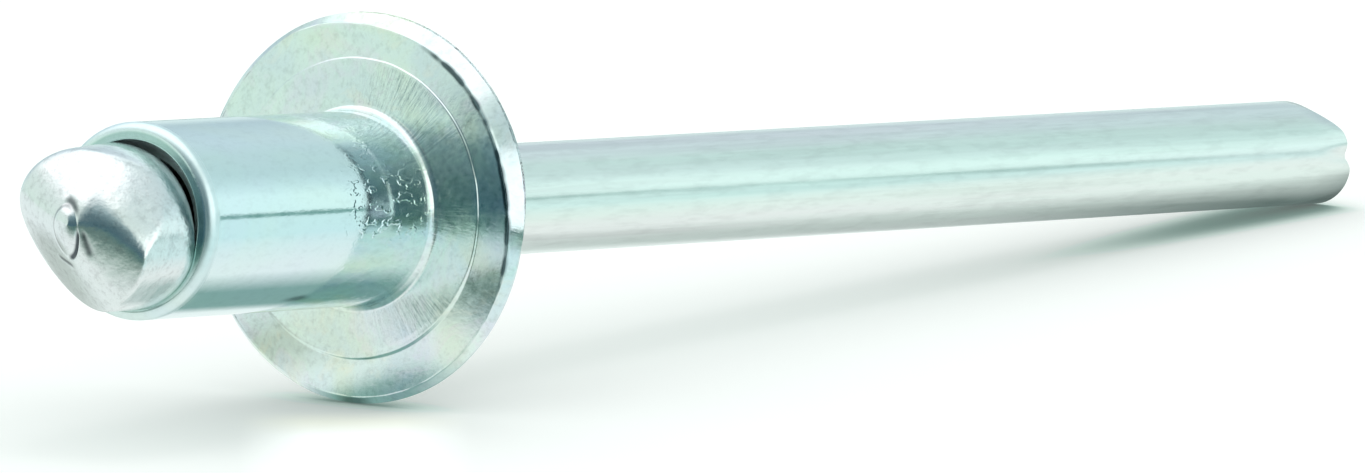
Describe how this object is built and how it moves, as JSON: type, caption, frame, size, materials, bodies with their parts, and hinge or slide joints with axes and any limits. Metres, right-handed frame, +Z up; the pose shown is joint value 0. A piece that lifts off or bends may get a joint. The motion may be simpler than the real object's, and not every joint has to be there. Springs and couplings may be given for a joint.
{
  "type": "pop rivet",
  "caption": "Protruding-head blind rivet, unset: flanged hollow sleeve on a headed mandrel with a long stem, lying on its flange rim and stem end.",
  "frame": {"origin": "on the surface it lies on, under the middle of its length", "axes": "+X along the length towards the tail of the stem, +Y across, +Z up; the rivet's own axis leans about 4.6 degrees, blind end up"},
  "size_m": [0.0546, 0.0094, 0.0095],
  "materials": {
    "rivet_body": "bright clear zinc plate, faint blue and yellow tints",
    "mandrel": "bright zinc plate on drawn wire"
  },
  "bodies": {
    "root": {"rivet_body": "rivet_body", "mandrel": "mandrel"}
  },
  "joints": []
}
